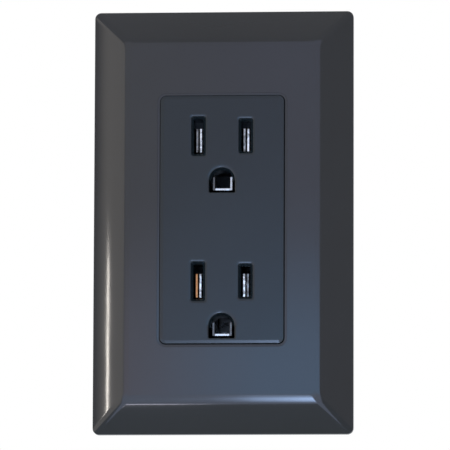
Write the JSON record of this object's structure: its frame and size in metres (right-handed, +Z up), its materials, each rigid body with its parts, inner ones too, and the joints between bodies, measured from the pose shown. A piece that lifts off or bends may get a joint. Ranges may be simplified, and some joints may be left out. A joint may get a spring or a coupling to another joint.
{
  "type": "duplex wall outlet",
  "caption": "Duplex wall outlet with a rectangular face, grounded slots and a dark bevelled snap-fit wall plate over a strap, contact strips and side-wired terminals.",
  "frame": {"origin": "middle of the outlet on the wall's surface, where the wall plate's rear rim and the rear of the strap's ears lie", "axes": "+Z up, +X to the right as seen from the room, +Y into the wall, so the face looks towards -Y"},
  "size_m": [0.0698, 0.0343, 0.1142],
  "materials": {
    "plate_plastic": "smooth satin-gloss dark slate-grey moulding",
    "face_plastic": "smooth satin dark slate-blue moulding",
    "frame_plastic": "matt dark moulding",
    "body_plastic": "matt black moulding with fine texture",
    "zinc_steel": "zinc-plated sheet steel",
    "screw_steel": "bright zinc-plated screw steel",
    "dark_screw": "black oxide",
    "brass": "plain rolled brass",
    "nickel": "nickel plate on brass",
    "green_screw": "green dyed plating",
    "fibre": "red-brown vulcanised fibre"
  },
  "bodies": {
    "housing": {"face_cover": "face_plastic", "back_body": "body_plastic", "mounting_strap": "zinc_steel", "hot_strip": "brass", "neutral_strip": "brass", "ground_strip": "nickel", "ground_rivets": "screw_steel", "housing_screws": "screw_steel", "plate_frame": "frame_plastic", "plate_frame_screws": "dark_screw"},
    "wall_plate": {"wall_plate": "plate_plastic"},
    "screw_retainer_upper": {"screw_retainer_upper": "fibre"},
    "box_screw_upper": {"box_screw_upper": "screw_steel"},
    "screw_retainer_lower": {"screw_retainer_lower": "fibre"},
    "box_screw_lower": {"box_screw_lower": "screw_steel"},
    "hot_clamp_upper": {"hot_clamp_upper": "brass"},
    "hot_screw_upper": {"hot_screw_upper": "brass"},
    "hot_clamp_lower": {"hot_clamp_lower": "brass"},
    "hot_screw_lower": {"hot_screw_lower": "brass"},
    "neutral_clamp_upper": {"neutral_clamp_upper": "nickel"},
    "neutral_screw_upper": {"neutral_screw_upper": "nickel"},
    "neutral_clamp_lower": {"neutral_clamp_lower": "nickel"},
    "neutral_screw_lower": {"neutral_screw_lower": "nickel"},
    "ground_clamp": {"ground_clamp": "zinc_steel"},
    "ground_screw": {"ground_screw": "green_screw"}
  },
  "joints": [
    {"name": "wall_plate_pull", "type": "slide", "parent": "housing", "child": "wall_plate", "axis": [0, -1, 0], "range_m": [0, 0.012]},
    {"name": "box_screw_upper_float", "type": "slide", "parent": "housing", "child": "screw_retainer_upper", "axis": [0, -1, 0], "range_m": [0, 0.0015]},
    {"name": "box_screw_upper_turn", "type": "hinge", "parent": "screw_retainer_upper", "child": "box_screw_upper", "pos_m": [0, 0, 0.04167], "axis": [0, -1, 0], "continuous": true},
    {"name": "box_screw_lower_float", "type": "slide", "parent": "housing", "child": "screw_retainer_lower", "axis": [0, -1, 0], "range_m": [0, 0.0015]},
    {"name": "box_screw_lower_turn", "type": "hinge", "parent": "screw_retainer_lower", "child": "box_screw_lower", "pos_m": [0, 0, -0.04167], "axis": [0, -1, 0], "continuous": true},
    {"name": "hot_clamp_upper_slide", "type": "slide", "parent": "housing", "child": "hot_clamp_upper", "axis": [1, 0, 0], "range_m": [0, 0.00317]},
    {"name": "hot_screw_upper_turn", "type": "hinge", "parent": "hot_clamp_upper", "child": "hot_screw_upper", "pos_m": [0.017, 0.0105, 0.0125], "axis": [1, 0, 0], "range_deg": [0, 1440]},
    {"name": "hot_clamp_lower_slide", "type": "slide", "parent": "housing", "child": "hot_clamp_lower", "axis": [1, 0, 0], "range_m": [0, 0.00317]},
    {"name": "hot_screw_lower_turn", "type": "hinge", "parent": "hot_clamp_lower", "child": "hot_screw_lower", "pos_m": [0.017, 0.0105, -0.0125], "axis": [1, 0, 0], "range_deg": [0, 1440]},
    {"name": "neutral_clamp_upper_slide", "type": "slide", "parent": "housing", "child": "neutral_clamp_upper", "axis": [-1, 0, 0], "range_m": [0, 0.00317]},
    {"name": "neutral_screw_upper_turn", "type": "hinge", "parent": "neutral_clamp_upper", "child": "neutral_screw_upper", "pos_m": [-0.017, 0.0105, 0.0125], "axis": [-1, 0, 0], "range_deg": [0, 1440]},
    {"name": "neutral_clamp_lower_slide", "type": "slide", "parent": "housing", "child": "neutral_clamp_lower", "axis": [-1, 0, 0], "range_m": [0, 0.00317]},
    {"name": "neutral_screw_lower_turn", "type": "hinge", "parent": "neutral_clamp_lower", "child": "neutral_screw_lower", "pos_m": [-0.017, 0.0105, -0.0125], "axis": [-1, 0, 0], "range_deg": [0, 1440]},
    {"name": "ground_clamp_slide", "type": "slide", "parent": "housing", "child": "ground_clamp", "axis": [-1, 0, 0], "range_m": [0, 0.00317]},
    {"name": "ground_screw_turn", "type": "hinge", "parent": "ground_clamp", "child": "ground_screw", "pos_m": [-0.018, 0.011, -0.031], "axis": [-1, 0, 0], "range_deg": [0, 1440]}
  ],
  "couplings": [
    {"joint": "hot_screw_upper_turn", "follows": "hot_clamp_upper_slide", "rad_per_m": 7915.8},
    {"joint": "hot_screw_lower_turn", "follows": "hot_clamp_lower_slide", "rad_per_m": 7915.8},
    {"joint": "neutral_screw_upper_turn", "follows": "neutral_clamp_upper_slide", "rad_per_m": 7915.8},
    {"joint": "neutral_screw_lower_turn", "follows": "neutral_clamp_lower_slide", "rad_per_m": 7915.8},
    {"joint": "ground_screw_turn", "follows": "ground_clamp_slide", "rad_per_m": 7915.8}
  ]
}
